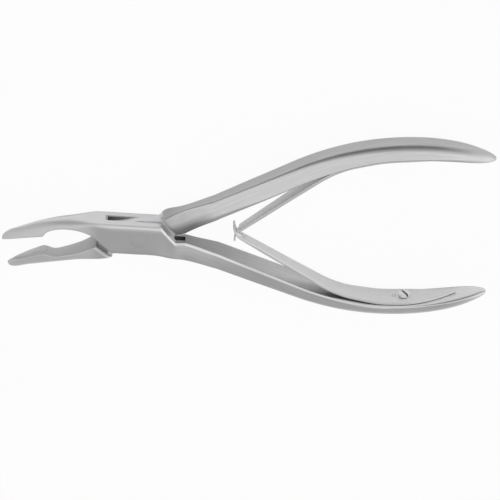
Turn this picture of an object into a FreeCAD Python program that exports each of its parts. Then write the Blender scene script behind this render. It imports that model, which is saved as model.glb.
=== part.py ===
import FreeCAD, Part
import math
import os
import Sketcher
from FreeCAD import Placement, Rotation, Vector

# A bone rongeur with a box joint. Sizes are in millimetres and degrees.
# The tool lies on its side: X runs from the jaws (-X) to the handles (+X), Y across the
# handles, Z along the pivot pin. The origin is where the pivot axis leaves the lower side
# of the box. Each half is drawn closed, in its own frame with the pivot at 0, 0 and the
# middle of its thickness at Z = 0, and then turned open by half of the opening angle.

SIZES = {
    "box_thickness": 9.0,
    "box_height": 10.3,
    "box_rounding": 1.8,
    "box_flat_length": 12.0,
    "opening_angle": 11.0,
    "pin_diameter": 4.0,
    "pin_clearance": 0.04,
    "slot_width": 2.5,
    "tenon_clearance": 0.08,
    "cheek_front_reach": 12.95,
    "cheek_front_slant": 42.8,
    "cheek_rear_reach": 11.0,
    "cheek_rear_slant": 51.5,
    "front_shoulder_gap": 0.4,
    "rear_shoulder_gap": 1.2,
    "window_front_reach": 12.6,
    "window_rear_reach": 14.1,
    "window_slant": 63.4,
    "window_front_gap": 0.45,
    "window_rear_gap": 2.06,
    "jaw_reach": 41.9,
    "jaw_root": 12.5,
    "jaw_tip_width": 3.8,
    "bite_radius": 98.0,
    "bite_gap": 0.12,
    "rim_length": 12.8,
    "throat_depth": 2.2,
    "crotch_height": 0.3,
    "cup_length": 10.0,
    "cup_width": 3.2,
    "cup_depth": 1.7,
    "cup_setback": 7.6,
    "neck_reach": 14.5,
    "neck_height": 7.3,
    "neck_width": 8.0,
    "box_neck_thickness": 6.7,
    "tenon_neck_thickness": 5.5,
    "leg_angle": 18.3,
    "bend_reach": 49.5,
    "bend_height": 17.8,
    "palm_radius": 82.0,
    "palm_reach": 75.0,
    "palm_width": 11.0,
    "palm_thickness": 4.1,
    "handle_reach": 109.5,
    "ridge_rounding": 2.2,
    "spring_thickness": 0.9,
    "spring_seat_gap": 0.05,
    "spring_seat_reach": 68.0,
    "spring_end_reach": 99.4,
    "spring_width": 8.4,
    "spring_tip_width": 3.5,
    "spring_meet_reach": 30.0,
    "spring_bend_length": 6.5,
    "curl_radius": 5.0,
    "curl_turn": 50.0,
    "curl_tail": 0.7,
    "tongue_width": 1.5,
    "tongue_length": 1.0,
    "eye_width": 2.1,
    "eye_height": 3.6,
    "screw_reach": 83.3,
    "screw_head_diameter": 3.8,
    "screw_head_height": 1.25,
    "screw_shank_diameter": 2.2,
    "screw_length": 2.6,
    "screw_slot_width": 0.6,
    "screw_slot_depth": 0.6,
    "screw_slot_turn": 62.0,
    "hole_clearance": 0.15,
    "locator_spacing": 3.4,
    "locator_diameter": 1.0,
    "locator_length": 1.6,
}

# How full the tapered ends are: the higher the power, the blunter the end.
JAW_FULLNESS = 2
JAW_TIP_FULLNESS = 8
HANDLE_TIP_FULLNESS = 4
HANDLE_END_FULLNESS = 6
# Where the cross-sections stand, as shares of a jaw or of each part of a handle.
JAW_SHARES = (0.985, 0.94, 0.86, 0.72, 0.54, 0.34, 0.16)
LEG_SHARES = (0.0, 0.165, 0.355, 0.57, 0.785, 1.0)
PALM_SHARES = (0.38, 0.65, 0.84, 0.95, 0.99)
# Spare stock round a forging that the milled cuts take off, and how far a cut runs past.
STOCK = 1.5
OVERRUN = 6.0


class Dims:
    """Reads a size from the spreadsheet by its alias."""

    def __init__(self, sheet):
        self.sheet = sheet

    def __getattr__(self, alias):
        return float(self.sheet.get(alias))


def make_sheet(doc):
    sheet = doc.addObject("Spreadsheet::Sheet", "dims")
    for row, (alias, value) in enumerate(SIZES.items(), start=1):
        sheet.set("A%d" % row, alias)
        sheet.set("B%d" % row, str(value))
        sheet.setAlias("B%d" % row, alias)
    doc.recompute()
    return sheet


def tan(degrees):
    return math.tan(math.radians(degrees))


def sin(degrees):
    return math.sin(math.radians(degrees))


def cos(degrees):
    return math.cos(math.radians(degrees))


def rounded_wire(reach, corners, radii):
    """Closed wire in the plane X = reach: straight sides joined by tangent arcs."""
    points = [Vector(reach, y, z) for y, z in corners]
    starts, middles, ends = [], [], []
    for i, corner in enumerate(points):
        back = (points[i - 1] - corner).normalize()
        ahead = (points[(i + 1) % len(points)] - corner).normalize()
        half = back.getAngle(ahead) / 2
        inward = (back + ahead).normalize()
        setback = radii[i] / math.tan(half)
        starts.append(corner + back * setback)
        ends.append(corner + ahead * setback)
        middles.append(corner + inward * (radii[i] / math.sin(half) - radii[i]))
    edges = []
    for i in range(len(points)):
        edges.append(Part.Arc(starts[i], middles[i], ends[i]).toShape())
        edges.append(Part.makeLine(ends[i], starts[(i + 1) % len(points)]))
    return Part.Wire(edges)


def section(reach, jaw_side, handle_side):
    """Four-cornered section. Each side is its Y, its width and its corner radius."""
    (y1, w1, r1), (y2, w2, r2) = jaw_side, handle_side
    corners = [(y1, -w1 / 2), (y1, w1 / 2), (y2, w2 / 2), (y2, -w2 / 2)]
    return rounded_wire(reach, corners, [r1, r1, r2, r2])


def bite(d, x):
    """Y of the line on which the two jaws close: an arc tangent to the axis."""
    run = max(0.0, -x - d.jaw_root)
    return math.sqrt(d.bite_radius ** 2 - run ** 2) - d.bite_radius


def jaw_size(d, share):
    """Height over the bite line and width, as a quarter-ellipse and a rounded taper."""
    height = d.box_height / 2 * math.sqrt(1 - share ** JAW_FULLNESS)
    taper = d.box_thickness - (d.box_thickness - d.jaw_tip_width) * share
    return height, taper * math.sqrt(1 - share ** JAW_TIP_FULLNESS)


def handle_line(d, x, neck_thickness):
    """Inner and outer distance from the axis: a straight leg, then an arc for the palm."""
    if x <= d.neck_reach:
        outer = d.neck_height
    elif x <= d.bend_reach:
        outer = d.bend_height - (d.bend_reach - x) * tan(d.leg_angle)
    else:
        crest = d.bend_reach + d.palm_radius * sin(d.leg_angle)
        centre = d.bend_height - d.palm_radius * cos(d.leg_angle)
        outer = centre + math.sqrt(d.palm_radius ** 2 - (x - crest) ** 2)
    share = (x - d.neck_reach) / (d.palm_reach - d.neck_reach)
    full = neck_thickness + (d.palm_thickness - neck_thickness) * min(1.0, max(0.0, share))
    past = max(0.0, (x - d.palm_reach) / (d.handle_reach - d.palm_reach))
    thickness = full * math.sqrt(max(0.0, 1 - past ** HANDLE_END_FULLNESS))
    middle = outer - full / 2
    return middle - thickness / 2, middle + thickness / 2


def handle_width(d, x):
    """Width over the palm, drawn in to the neck by a parabola and round at the end."""
    if x < d.palm_reach:
        share = (d.palm_reach - x) / (d.palm_reach - d.neck_reach)
        return d.palm_width - (d.palm_width - d.neck_width) * share ** 2
    past = (x - d.palm_reach) / (d.handle_reach - d.palm_reach)
    return d.palm_width * math.sqrt(max(0.0, 1 - past ** HANDLE_TIP_FULLNESS))


def handle_stations(d):
    """Where the sections of a handle stand, from its neck to its end."""
    legs = [d.neck_reach + s * (d.palm_reach - d.neck_reach) for s in LEG_SHARES]
    palms = [d.palm_reach + s * (d.handle_reach - d.palm_reach) for s in PALM_SHARES]
    return legs + palms


def forging(doc, d, name, side, neck_thickness):
    """The blank of one half as a loft. side is 1 where the jaw is up, -1 where it is down."""
    wires = []
    half = d.box_height / 2
    for share in JAW_SHARES:
        x = -(d.jaw_root + share * (d.jaw_reach - d.jaw_root))
        height, width = jaw_size(d, share)
        ridge = width * (1 - 0.6 * share)
        rounding = min(d.box_rounding, 0.42 * ridge)
        stock = STOCK * (1 - share) + STOCK / 2
        wires.append(section(
            x,
            (bite(d, x) + side * height, ridge, rounding),
            (bite(d, x) - side * stock, width, rounding / 4)))
    for x in (-d.jaw_root, -d.box_flat_length / 2, 0.0, d.box_flat_length / 2):
        wires.append(section(
            x,
            (side * half, d.box_thickness, d.box_rounding),
            (-side * half, d.box_thickness, d.box_rounding)))
    swell = half + (d.neck_height - half) * 0.6
    wires.append(section(
        (d.box_flat_length / 2 + d.neck_reach) / 2,
        (side * half, d.box_thickness, d.box_rounding),
        (-side * swell, (d.box_thickness + d.neck_width / 2) / 2, d.box_rounding * 0.6)))
    for x in handle_stations(d):
        inner, outer = handle_line(d, x, neck_thickness)
        width = handle_width(d, x)
        grown = min(1.0, (x - d.neck_reach) / (d.palm_reach - d.neck_reach))
        ridge = width * (0.5 + 0.1 * grown)
        rounding = min(d.ridge_rounding * (0.35 + 0.65 * grown), 0.3 * width)
        rounding = min(rounding, 0.8 * (outer - inner))
        slope = (width - ridge) / (outer - inner)
        if x <= d.neck_reach:
            inside = (side * half, d.box_thickness, d.box_rounding)
        else:
            stock = STOCK * (2 - grown)
            inside = (side * (stock - inner), width + slope * stock, rounding / 4)
        wires.append(section(x, inside, (-side * outer, ridge, rounding)))
    blank = doc.addObject("Part::Feature", name + "_forging")
    blank.Shape = Part.makeLoft(wires, True, False)
    return blank


def new_sketch(body, name, offset=None):
    """Sketch on the body's own XY plane, moved by offset."""
    sketch = body.newObject("Sketcher::SketchObject", name)
    plane = [o for o in body.Origin.OriginFeatures if o.Role == "XY_Plane"][0]
    sketch.AttachmentSupport = [(plane, "")]
    sketch.MapMode = "FlatFace"
    if offset is not None:
        sketch.AttachmentOffset = offset
    return sketch


def draw(sketch, pieces):
    """Closed outline of pieces: two points are a line, more are a smooth curve."""
    for piece in pieces:
        points = [Vector(x, y, 0) for x, y in piece]
        if len(points) == 2:
            sketch.addGeometry(Part.LineSegment(*points))
        else:
            curve = Part.BSplineCurve()
            curve.interpolate(points)
            sketch.addGeometry(curve)


def corners_to_pieces(points):
    return list(zip(points, points[1:] + points[:1]))


def pocket(doc, body, sketch, name, length=None, outward=False):
    """Pocket of a sketch: through all both ways, or a bound length, or all one way."""
    before = body.Shape.Volume
    cut = body.newObject("PartDesign::Pocket", name)
    cut.Profile = sketch
    if length is not None:
        cut.Type = "Length"
        cut.SideType = "Symmetric"
        cut.setExpression("Length", length)
    else:
        cut.Type = "ThroughAll"
        cut.SideType = "One side" if outward else "Symmetric"
        cut.Reversed = bool(outward) and outward > 0
    doc.recompute()
    if not body.Shape.Volume < before:
        raise ValueError(name + " takes nothing off")
    return cut


def slant_point(reach, slant, y):
    """Point at height y on the line that crosses the axis at reach and falls to +X."""
    return reach - y / tan(slant), y


def jaw_side_line(d, side):
    """Where the underside cut meets the box: reach on the axis and slant."""
    if side > 0:
        return -d.cheek_front_reach, d.cheek_front_slant
    return -d.window_front_reach + d.window_front_gap / sin(d.window_slant), -d.window_slant


def handle_side_line(d, side):
    if side > 0:
        return d.cheek_rear_reach, d.cheek_rear_slant
    return d.window_rear_reach - d.window_rear_gap / sin(d.window_slant), -d.window_slant


def bite_offset(d, x, side, rise):
    return x, bite(d, x) + side * (d.bite_gap / 2 + rise)


def cut_throat(doc, d, body, side):
    """Takes off all below a jaw: the cutting rim, the step and the throat behind it."""
    reach, slant = jaw_side_line(d, side)
    far = -side * (d.box_height / 2 + OVERRUN)
    tip = -d.jaw_reach - OVERRUN
    step = -d.jaw_reach + d.rim_length
    crotch = slant_point(reach, slant, side * d.crotch_height)
    rim = [bite_offset(d, x, side, 0.0) for x in (tip, (tip + step) / 2, step)]
    run = -d.jaw_root - step
    throat = [bite_offset(d, step + share * run, side, rise * d.throat_depth)
              for share, rise in ((0.0, 0.0), (0.06, 0.45), (0.18, 0.9), (0.36, 1.0),
                                  (0.68, 0.8))]
    throat.append(crotch)
    foot = slant_point(reach, slant, far)
    sketch = new_sketch(body, "throat_outline")
    draw(sketch, [rim, throat, (crotch, foot), (foot, (tip, far)), ((tip, far), rim[0])])
    pocket(doc, body, sketch, "throat_cut")


def inner_points(d, side, neck_thickness):
    """Points of the inner face of a handle, from the box to the handle's end."""
    return [(x, -side * handle_line(d, x, neck_thickness)[0]) for x in handle_stations(d)]


def cut_inner_face(doc, d, body, side, neck_thickness):
    """Takes off all on the inner side of a handle, back to the rear line of the joint."""
    reach, slant = handle_side_line(d, side)
    far = side * (d.box_height / 2 + OVERRUN)
    points = inner_points(d, side, neck_thickness)
    start = slant_point(reach, slant, points[0][1])
    end = (d.handle_reach + OVERRUN, points[-1][1])
    top = slant_point(reach, slant, far)
    sketch = new_sketch(body, "inner_outline")
    face = [start] + points
    draw(sketch, [face, (points[-1], end), (end, (end[0], far)), ((end[0], far), top),
                  (top, start)])
    pocket(doc, body, sketch, "inner_cut")


def cut_window(doc, d, body):
    """The slot through the box, from the lower side out through the upper side."""
    low = -d.neck_height - OVERRUN
    high = d.box_height / 2 + OVERRUN
    front_foot = slant_point(-d.window_front_reach, -d.window_slant, -STOCK)
    points = [
        slant_point(-d.window_front_reach, -d.window_slant, high),
        front_foot,
        (front_foot[0], low),
        slant_point(d.window_rear_reach, -d.window_slant, low),
        slant_point(d.window_rear_reach, -d.window_slant, high)]
    sketch = new_sketch(body, "window_outline")
    draw(sketch, corners_to_pieces(points))
    pocket(doc, body, sketch, "window_cut", "<<dims>>.slot_width")


def cut_shoulders(doc, d, body):
    """Thins the crossing part to a tenon, between two shoulders that face the cheeks."""
    front = -d.cheek_front_reach - d.front_shoulder_gap / sin(d.cheek_front_slant)
    rear = d.cheek_rear_reach + d.rear_shoulder_gap / sin(d.cheek_rear_slant)
    high = d.box_height / 2 + OVERRUN
    points = [
        slant_point(front, d.cheek_front_slant, high),
        slant_point(front, d.cheek_front_slant, -high),
        slant_point(rear, d.cheek_rear_slant, -high),
        slant_point(rear, d.cheek_rear_slant, high)]
    for way, name in ((1, "upper"), (-1, "lower")):
        level = "%d * (<<dims>>.slot_width / 2 - <<dims>>.tenon_clearance)" % way
        sketch = new_sketch(body, name + "_shoulder_outline")
        draw(sketch, corners_to_pieces(points))
        sketch.setExpression("AttachmentOffset.Base.z", level)
        doc.recompute()
        pocket(doc, body, sketch, name + "_shoulder_cut", outward=way)


def cut_bore(doc, body, diameter):
    """Round bore for the pivot pin, through the whole thickness."""
    sketch = new_sketch(body, "pin_bore_outline")
    sketch.addGeometry(Part.Circle(Vector(0, 0, 0), Vector(0, 0, 1), 1.0))
    sketch.addConstraint(Sketcher.Constraint("Coincident", 0, 3, -1, 1))
    sketch.addConstraint(Sketcher.Constraint("Diameter", 0, 2.0))
    sketch.setExpression("Constraints[1]", diameter)
    doc.recompute()
    pocket(doc, body, sketch, "pin_bore")


def cut_cup(doc, d, body, side):
    """Hollow of the jaw: half an ellipsoid sunk into the bite face."""
    x = -d.jaw_reach + d.cup_setback
    slope = math.degrees(math.asin((-x - d.jaw_root) / d.bite_radius))
    before = body.Shape.Volume
    cup = body.newObject("PartDesign::SubtractiveEllipsoid", "cup")
    plane = [o for o in body.Origin.OriginFeatures if o.Role == "XY_Plane"][0]
    cup.AttachmentSupport = [(plane, "")]
    cup.MapMode = "FlatFace"
    turn = Rotation(Vector(0, 0, 1), slope).multiply(Rotation(Vector(1, 0, 0), 90))
    cup.AttachmentOffset = Placement(Vector(x, bite(d, x), 0), turn)
    cup.setExpression("Radius2", "<<dims>>.cup_length / 2")
    cup.setExpression("Radius3", "<<dims>>.cup_width / 2")
    cup.setExpression("Radius1", "<<dims>>.cup_depth")
    doc.recompute()
    if not body.Shape.Volume < before:
        raise ValueError("cup takes nothing off")


def seat_curve(d, side, neck_thickness):
    curve = Part.BSplineCurve()
    curve.interpolate([Vector(x, y, 0) for x, y in inner_points(d, side, neck_thickness)])
    return curve


def seat_frame(d, side, neck_thickness, reach):
    """Point on the inner face at a reach, its tangent to +X and its normal off the face."""
    curve = seat_curve(d, side, neck_thickness)
    low, high = curve.FirstParameter, curve.LastParameter
    for _ in range(40):
        middle = (low + high) / 2
        if curve.value(middle).x < reach:
            low = middle
        else:
            high = middle
    along = Vector(*curve.tangent(low)[0])
    along.normalize()
    normal = Vector(-along.y, along.x, 0) * side
    return curve.value(low), along, normal


def fastener_place(d, side, neck_thickness, reach):
    """Placement whose Z stands on the inner face and whose X runs along the handle."""
    point, along, normal = seat_frame(d, side, neck_thickness, reach)
    return Placement(point, Rotation(along, Vector(), normal, "ZXY"))


def drill(doc, body, name, place, diameter, depth):
    """Round hole from the inner face into the handle. diameter and depth are formulas."""
    before = body.Shape.Volume
    hole = body.newObject("PartDesign::SubtractiveCylinder", name)
    plane = [o for o in body.Origin.OriginFeatures if o.Role == "XY_Plane"][0]
    hole.AttachmentSupport = [(plane, "")]
    hole.MapMode = "FlatFace"
    hole.setExpression("Radius", "(%s) / 2" % diameter)
    hole.setExpression("Height", "2 * (%s)" % depth)
    doc.recompute()
    hole.AttachmentOffset = place.multiply(
        Placement(Vector(0, 0, -float(hole.Height) / 2), Rotation()))
    doc.recompute()
    if not body.Shape.Volume < before:
        raise ValueError(name + " takes nothing off")


def lift(d):
    return Vector(0, 0, d.box_thickness / 2)


def open_place(d, side):
    """Turns a half open about the pivot and lifts it to stand on the box's lower side."""
    return Placement(lift(d), Rotation(Vector(0, 0, 1), -side * d.opening_angle / 2))


def make_half(doc, d, name, side, neck_thickness):
    blank = forging(doc, d, name, side, neck_thickness)
    body = doc.addObject("PartDesign::Body", name)
    body.Label = name
    body.BaseFeature = blank
    doc.recompute()
    cut_throat(doc, d, body, side)
    cut_inner_face(doc, d, body, side, neck_thickness)
    if side > 0:
        cut_window(doc, d, body)
        cut_bore(doc, body, "<<dims>>.pin_diameter")
    else:
        cut_shoulders(doc, d, body)
        cut_bore(doc, body, "<<dims>>.pin_diameter + 2 * <<dims>>.pin_clearance")
    cut_cup(doc, d, body, side)
    screw = fastener_place(d, side, neck_thickness, d.screw_reach)
    drill(doc, body, "screw_hole", screw,
          "<<dims>>.screw_shank_diameter", "<<dims>>.screw_length")
    locator = fastener_place(d, side, neck_thickness, d.screw_reach - d.locator_spacing)
    drill(doc, body, "locator_hole", locator,
          "<<dims>>.locator_diameter", "<<dims>>.locator_length")
    body.Placement = open_place(d, side)
    return body


def make_pin(doc, d):
    body = doc.addObject("PartDesign::Body", "pivot_pin")
    body.Label = "pivot_pin"
    sketch = new_sketch(body, "pin_outline")
    sketch.addGeometry(Part.Circle(Vector(0, 0, 0), Vector(0, 0, 1), 1.0))
    sketch.addConstraint(Sketcher.Constraint("Coincident", 0, 3, -1, 1))
    sketch.addConstraint(Sketcher.Constraint("Diameter", 0, 2.0))
    sketch.setExpression("Constraints[1]", "<<dims>>.pin_diameter")
    pad = body.newObject("PartDesign::Pad", "pin_pad")
    pad.Profile = sketch
    pad.SideType = "Symmetric"
    pad.setExpression("Length", "<<dims>>.box_thickness")
    body.Placement = Placement(lift(d), Rotation())
    return body


def curl_arc(d, meet, blade, side, share):
    """Point and direction on the curled tip. share is 0 at the blade and 1 at the far end."""
    middle = Rotation(Vector(0, 0, 1), -side * d.curl_turn / 2).multVec(blade)
    centre = meet + Vector(-middle.y, middle.x, 0) * side * d.curl_radius
    along = Rotation(Vector(0, 0, 1), -side * d.curl_turn * share).multVec(blade)
    return centre - Vector(-along.y, along.x, 0) * side * d.curl_radius, along


def spring_path(d, side, neck_thickness):
    """Middle line of a leaf: points and unit normals, from the curled tip to the clamped end."""
    rise = d.spring_seat_gap + d.spring_thickness / 2
    # The leaves cross on the tool's axis, which is turned by half the opening here.
    meet = Vector(d.spring_meet_reach * cos(d.opening_angle / 2),
                  side * d.spring_meet_reach * sin(d.opening_angle / 2), 0)
    seat, seat_along, normal = seat_frame(d, side, neck_thickness, d.spring_seat_reach)
    seat = seat + normal * rise
    # The straight blade aims at a knee on the seat's tangent. Its own direction moves the
    # end of the curl, so it is found by repeating.
    knee = seat - seat_along * d.spring_bend_length
    blade = (knee - meet).normalize()
    for _ in range(30):
        blade_start = curl_arc(d, meet, blade, side, 0.0)[0]
        blade = (knee - blade_start).normalize()
    straight_end = knee - blade * d.spring_bend_length
    line = []
    tip, along = curl_arc(d, meet, blade, side, 1.0)
    line.append((tip - along * d.curl_tail, along))
    for share in (1.0, 0.75, 0.5, 0.25, 0.0):
        line.append(curl_arc(d, meet, blade, side, share))
    for share in (0.35, 0.7, 1.0):
        line.append((blade_start + (straight_end - blade_start) * share, blade))
    # The blade leaves its seat on a parabola between its own line and the seat's tangent.
    for share in (0.25, 0.5, 0.75):
        first = straight_end + (knee - straight_end) * share
        second = knee + (seat - knee) * share
        line.append((first + (second - first) * share, (second - first).normalize()))
    seats = 6
    for i in range(seats + 1):
        reach = d.spring_seat_reach + (d.spring_end_reach - d.spring_seat_reach) * i / seats
        point, along, normal = seat_frame(d, side, neck_thickness, reach)
        line.append((point + normal * rise, along))
    return [p for p, a in line], [Vector(-a.y, a.x, 0) * side for p, a in line]


def spring_plan(d, side):
    """Half widths of a leaf seen from above its seat, by reach in the half's own frame."""
    wide = d.spring_width / 2
    thin = d.spring_tip_width / 2
    meet = d.spring_meet_reach * cos(d.opening_angle / 2)
    nose = d.spring_end_reach
    shoulder = nose - d.spring_width * 1.9
    taper_end = meet + d.spring_tip_width * 1.2
    return wide, thin, meet, nose, shoulder, taper_end


def cut_spring_plan(doc, d, body, side):
    """Tapers the leaf to its tip and points its clamped end like a lancet arch."""
    wide, thin, meet, nose, shoulder, taper_end = spring_plan(d, side)
    out = wide + OVERRUN
    far = meet - OVERRUN
    start = (far, thin)
    knee = (taper_end, thin)
    seat = (d.spring_seat_reach, wide)
    crown = (shoulder, wide)
    arch = [crown, (shoulder + (nose - shoulder) * 0.55, wide * 0.72), (nose, 0.0)]
    for way in (1, -1):
        def flip(point):
            return point[0], point[1] * way
        sketch = new_sketch(body, "plan_outline")
        sketch.AttachmentOffset = Placement(Vector(), Rotation(Vector(1, 0, 0), 90))
        end = (nose + OVERRUN, 0.0)
        draw(sketch, [[flip(p) for p in piece] for piece in (
            (start, knee), (knee, seat), (seat, crown), arch, ((nose, 0.0), end),
            (end, (end[0], out)), ((end[0], out), (far, out)), ((far, out), start))])
        doc.recompute()
        pocket(doc, body, sketch, "plan_cut")


def block_cut(doc, body, name, centre, turn, length, height, width):
    """Takes a box out of a body. The three sizes are formulas, and centre is its middle."""
    before = body.Shape.Volume
    block = body.newObject("PartDesign::SubtractiveBox", name)
    plane = [o for o in body.Origin.OriginFeatures if o.Role == "XY_Plane"][0]
    block.AttachmentSupport = [(plane, "")]
    block.MapMode = "FlatFace"
    block.setExpression("Length", length)
    block.setExpression("Width", height)
    block.setExpression("Height", width)
    doc.recompute()
    corner = Vector(-float(block.Length) / 2, -float(block.Width) / 2,
                    -float(block.Height) / 2)
    block.AttachmentOffset = Placement(centre, turn).multiply(Placement(corner, Rotation()))
    doc.recompute()
    if not body.Shape.Volume < before:
        raise ValueError(name + " takes nothing off")


def make_spring(doc, d, name, side, neck_thickness):
    """Leaf spring: its side view padded across, then cut to its plan and pierced."""
    points, normals = spring_path(d, side, neck_thickness)
    half = d.spring_thickness / 2
    upper = [(p.x + n.x * half, p.y + n.y * half) for p, n in zip(points, normals)]
    under = [(p.x - n.x * half, p.y - n.y * half) for p, n in zip(points, normals)]
    body = doc.addObject("PartDesign::Body", name)
    body.Label = name
    sketch = new_sketch(body, "leaf_outline")
    draw(sketch, [upper, (upper[-1], under[-1]), under[::-1], (under[0], upper[0])])
    pad = body.newObject("PartDesign::Pad", "leaf_pad")
    pad.Profile = sketch
    pad.SideType = "Symmetric"
    pad.setExpression("Length", "<<dims>>.spring_width")
    doc.recompute()
    cut_spring_plan(doc, d, body, side)
    meet = Vector(d.spring_meet_reach * cos(d.opening_angle / 2),
                  side * d.spring_meet_reach * sin(d.opening_angle / 2), 0)
    upright = Rotation(Vector(0, 0, 1), side * d.opening_angle / 2)
    if side > 0:
        block_cut(doc, body, "eye", meet, upright, "2 * <<dims>>.curl_radius",
                  "<<dims>>.eye_height", "<<dims>>.eye_width")
    else:
        wide = d.spring_tip_width
        for way in (1, -1):
            aside = Vector(0, 0, way * (d.tongue_width + wide) / 2)
            centre = meet + upright.multVec(Vector(d.tongue_length - d.curl_radius, 0, 0))
            block_cut(doc, body, "tongue_side", centre + aside, upright,
                      "2 * <<dims>>.curl_radius", "4 * <<dims>>.curl_radius",
                      "<<dims>>.spring_tip_width")
    for hole, reach, size in (
            ("screw_eye", d.screw_reach, "screw_shank_diameter"),
            ("locator_eye", d.screw_reach - d.locator_spacing, "locator_diameter")):
        place = fastener_place(d, side, neck_thickness, reach)
        drill(doc, body, hole, place,
              "<<dims>>.%s + 2 * <<dims>>.hole_clearance" % size,
              "4 * <<dims>>.spring_thickness")
    body.Placement = open_place(d, side)
    return body


def make_screw(doc, d, name, side, neck_thickness):
    """Slotted cheese-head screw, standing on its leaf spring."""
    body = doc.addObject("PartDesign::Body", name)
    body.Label = name
    body.newObject("PartDesign::AdditiveCylinder", "shank")
    shank = body.Group[-1]
    shank.setExpression("Radius", "<<dims>>.screw_shank_diameter / 2")
    stack = "(<<dims>>.spring_thickness + 2 * <<dims>>.spring_seat_gap)"
    shank.setExpression("Height", "<<dims>>.screw_length + " + stack)
    doc.recompute()
    shank.Placement = Placement(Vector(0, 0, -d.screw_length), Rotation())
    seat = d.spring_thickness + 2 * d.spring_seat_gap
    doc.recompute()
    head = body.newObject("PartDesign::AdditiveCylinder", "head")
    head.setExpression("Radius", "<<dims>>.screw_head_diameter / 2")
    head.setExpression("Height", "<<dims>>.screw_head_height")
    head.Placement = Placement(Vector(0, 0, seat), Rotation())
    doc.recompute()
    top = seat + d.screw_head_height
    slot = body.newObject("PartDesign::SubtractiveBox", "driver_slot")
    slot.setExpression("Length", "2 * <<dims>>.screw_head_diameter")
    slot.setExpression("Width", "<<dims>>.screw_slot_width")
    slot.setExpression("Height", "2 * <<dims>>.screw_slot_depth")
    turn = Rotation(Vector(0, 0, 1), -side * d.screw_slot_turn)
    corner = Vector(-d.screw_head_diameter, -d.screw_slot_width / 2, -d.screw_slot_depth)
    slot.Placement = Placement(Vector(0, 0, top), turn).multiply(Placement(corner, Rotation()))
    doc.recompute()
    place = fastener_place(d, side, neck_thickness, d.screw_reach)
    body.Placement = open_place(d, side).multiply(place)
    return body


def make_locator(doc, d, name, side, neck_thickness):
    """Small pin beside the screw that keeps the leaf from turning."""
    pin = doc.addObject("Part::Cylinder", name)
    pin.Label = name
    pin.setExpression("Radius", "<<dims>>.locator_diameter / 2")
    pin.setExpression(
        "Height",
        "<<dims>>.locator_length + <<dims>>.spring_thickness + <<dims>>.spring_seat_gap")
    place = fastener_place(d, side, neck_thickness, d.screw_reach - d.locator_spacing)
    sunk = Placement(Vector(0, 0, -d.locator_length), Rotation())
    pin.Placement = open_place(d, side).multiply(place).multiply(sunk)
    return pin


def check(doc, parts):
    for item in doc.Objects:
        if "Invalid" in item.State or "Error" in item.State:
            raise ValueError("%s is %s" % (item.Name, item.State))
    for part in parts:
        if part.Shape.isNull() or not part.Shape.isValid() or len(part.Shape.Solids) != 1:
            raise ValueError("%s has a faulty shape" % part.Label)


def main():
    doc = FreeCAD.newDocument("bone_rongeur")
    d = Dims(make_sheet(doc))
    box_neck = d.box_neck_thickness
    tenon_neck = d.tenon_neck_thickness
    parts = [
        make_half(doc, d, "box_half", 1, box_neck),
        make_half(doc, d, "tenon_half", -1, tenon_neck),
        make_pin(doc, d),
        make_spring(doc, d, "lower_spring", 1, box_neck),
        make_spring(doc, d, "upper_spring", -1, tenon_neck),
        make_screw(doc, d, "lower_spring_screw", 1, box_neck),
        make_screw(doc, d, "upper_spring_screw", -1, tenon_neck),
        make_locator(doc, d, "lower_locating_pin", 1, box_neck),
        make_locator(doc, d, "upper_locating_pin", -1, tenon_neck)]
    doc.recompute()
    check(doc, parts)
    os.makedirs("parts", exist_ok=True)
    for part in parts:
        part.Shape.exportStep("parts/%s.step" % part.Label)
        print("%-20s %9.2f mm3" % (part.Label, part.Shape.Volume))


main()
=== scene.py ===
# %% [markdown]
# # A bone rongeur, dressed for a studio picture
#
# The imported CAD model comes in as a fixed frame: every node sits where the real piece sits, in metres.
# All that follows is drawn round that frame. The real tool is two steel forgings that cross in a box
# joint, so most of this lesson is about drawing a forging whose edges are rounded as a polisher
# leaves them.

# %% Load the frame
import bpy
import bmesh
import math
import numpy as np
from mathutils import Matrix, Vector


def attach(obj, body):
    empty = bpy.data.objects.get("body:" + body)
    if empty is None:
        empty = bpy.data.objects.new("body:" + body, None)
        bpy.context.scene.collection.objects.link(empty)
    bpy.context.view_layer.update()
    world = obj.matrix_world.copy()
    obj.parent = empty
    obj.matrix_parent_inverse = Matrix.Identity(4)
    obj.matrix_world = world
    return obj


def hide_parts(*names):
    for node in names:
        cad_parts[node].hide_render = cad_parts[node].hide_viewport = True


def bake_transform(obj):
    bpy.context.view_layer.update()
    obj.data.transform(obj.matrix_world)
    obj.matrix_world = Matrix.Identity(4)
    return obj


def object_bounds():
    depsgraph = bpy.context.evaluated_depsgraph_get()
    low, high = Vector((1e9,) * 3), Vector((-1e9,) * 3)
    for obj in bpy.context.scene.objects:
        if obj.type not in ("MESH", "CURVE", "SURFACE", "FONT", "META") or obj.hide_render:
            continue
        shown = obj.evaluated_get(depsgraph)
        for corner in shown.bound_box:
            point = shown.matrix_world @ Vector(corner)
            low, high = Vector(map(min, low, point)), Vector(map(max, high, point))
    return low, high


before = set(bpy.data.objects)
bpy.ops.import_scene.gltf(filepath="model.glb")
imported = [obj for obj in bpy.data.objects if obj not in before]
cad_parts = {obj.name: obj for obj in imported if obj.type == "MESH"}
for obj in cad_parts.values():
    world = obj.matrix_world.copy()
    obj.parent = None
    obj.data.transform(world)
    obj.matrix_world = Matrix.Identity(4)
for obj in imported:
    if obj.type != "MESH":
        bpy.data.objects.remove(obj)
cad_low, cad_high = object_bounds()
MM = 0.001
print("CAD box in mm:", [round(c / MM, 1) for c in (*cad_low, *cad_high)])

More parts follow.
